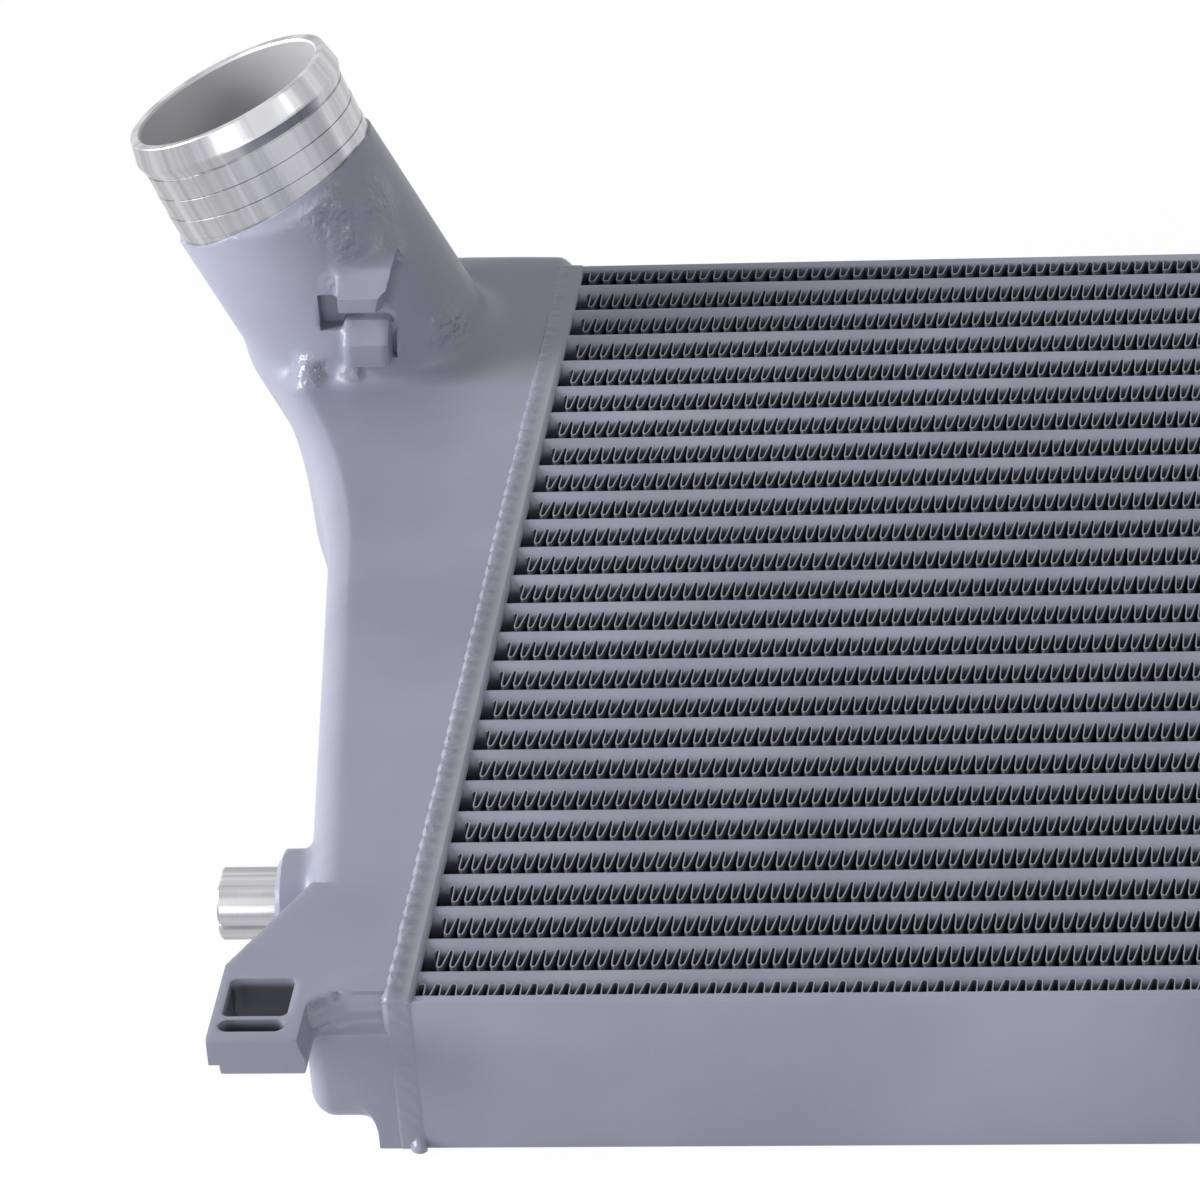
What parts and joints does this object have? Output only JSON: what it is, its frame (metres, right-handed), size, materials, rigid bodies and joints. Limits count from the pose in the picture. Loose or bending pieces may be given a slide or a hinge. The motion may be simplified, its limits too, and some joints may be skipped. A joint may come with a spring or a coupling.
{
  "type": "intercooler",
  "caption": "Wide flat air-to-air cooler: finned core between two tapered cast end tanks with leaning hose spigots, bracket lugs and stub pegs.",
  "frame": {"origin": "centre of the back face of the finned core", "axes": "+X along the tubes towards the right tank, +Y up the stack towards the spigots' end, +Z out of the face that carries the spigots"},
  "size_m": [0.901, 0.4378, 0.1338],
  "materials": {
    "painted_core": "satin",
    "painted_casting": "satin",
    "machined_aluminium": "machined"
  },
  "bodies": {
    "root": {"tube_01": "painted_core", "tube_02": "painted_core", "tube_03": "painted_core", "tube_04": "painted_core", "tube_05": "painted_core", "tube_06": "painted_core", "tube_07": "painted_core", "tube_08": "painted_core", "tube_09": "painted_core", "tube_10": "painted_core", "tube_11": "painted_core", "tube_12": "painted_core", "tube_13": "painted_core", "tube_14": "painted_core", "tube_15": "painted_core", "tube_16": "painted_core", "tube_17": "painted_core", "tube_18": "painted_core", "tube_19": "painted_core", "tube_20": "painted_core", "tube_21": "painted_core", "tube_22": "painted_core", "tube_23": "painted_core", "tube_24": "painted_core", "tube_25": "painted_core", "fin_row_01": "painted_core", "fin_row_02": "painted_core", "fin_row_03": "painted_core", "fin_row_04": "painted_core", "fin_row_05": "painted_core", "fin_row_06": "painted_core", "fin_row_07": "painted_core", "fin_row_08": "painted_core", "fin_row_09": "painted_core", "fin_row_10": "painted_core", "fin_row_11": "painted_core", "fin_row_12": "painted_core", "fin_row_13": "painted_core", "fin_row_14": "painted_core", "fin_row_15": "painted_core", "fin_row_16": "painted_core", "fin_row_17": "painted_core", "fin_row_18": "painted_core", "fin_row_19": "painted_core", "fin_row_20": "painted_core", "fin_row_21": "painted_core", "fin_row_22": "painted_core", "fin_row_23": "painted_core", "fin_row_24": "painted_core", "fin_row_25": "painted_core", "fin_row_26": "painted_core", "top_side_plate": "painted_core", "bottom_side_plate": "painted_core", "left_end_bars": "painted_core", "right_end_bars": "painted_core", "left_end_tank": "painted_casting", "right_end_tank": "painted_casting", "left_peg": "machined_aluminium", "right_peg": "machined_aluminium", "weld_beads": "painted_core"}
  },
  "joints": []
}
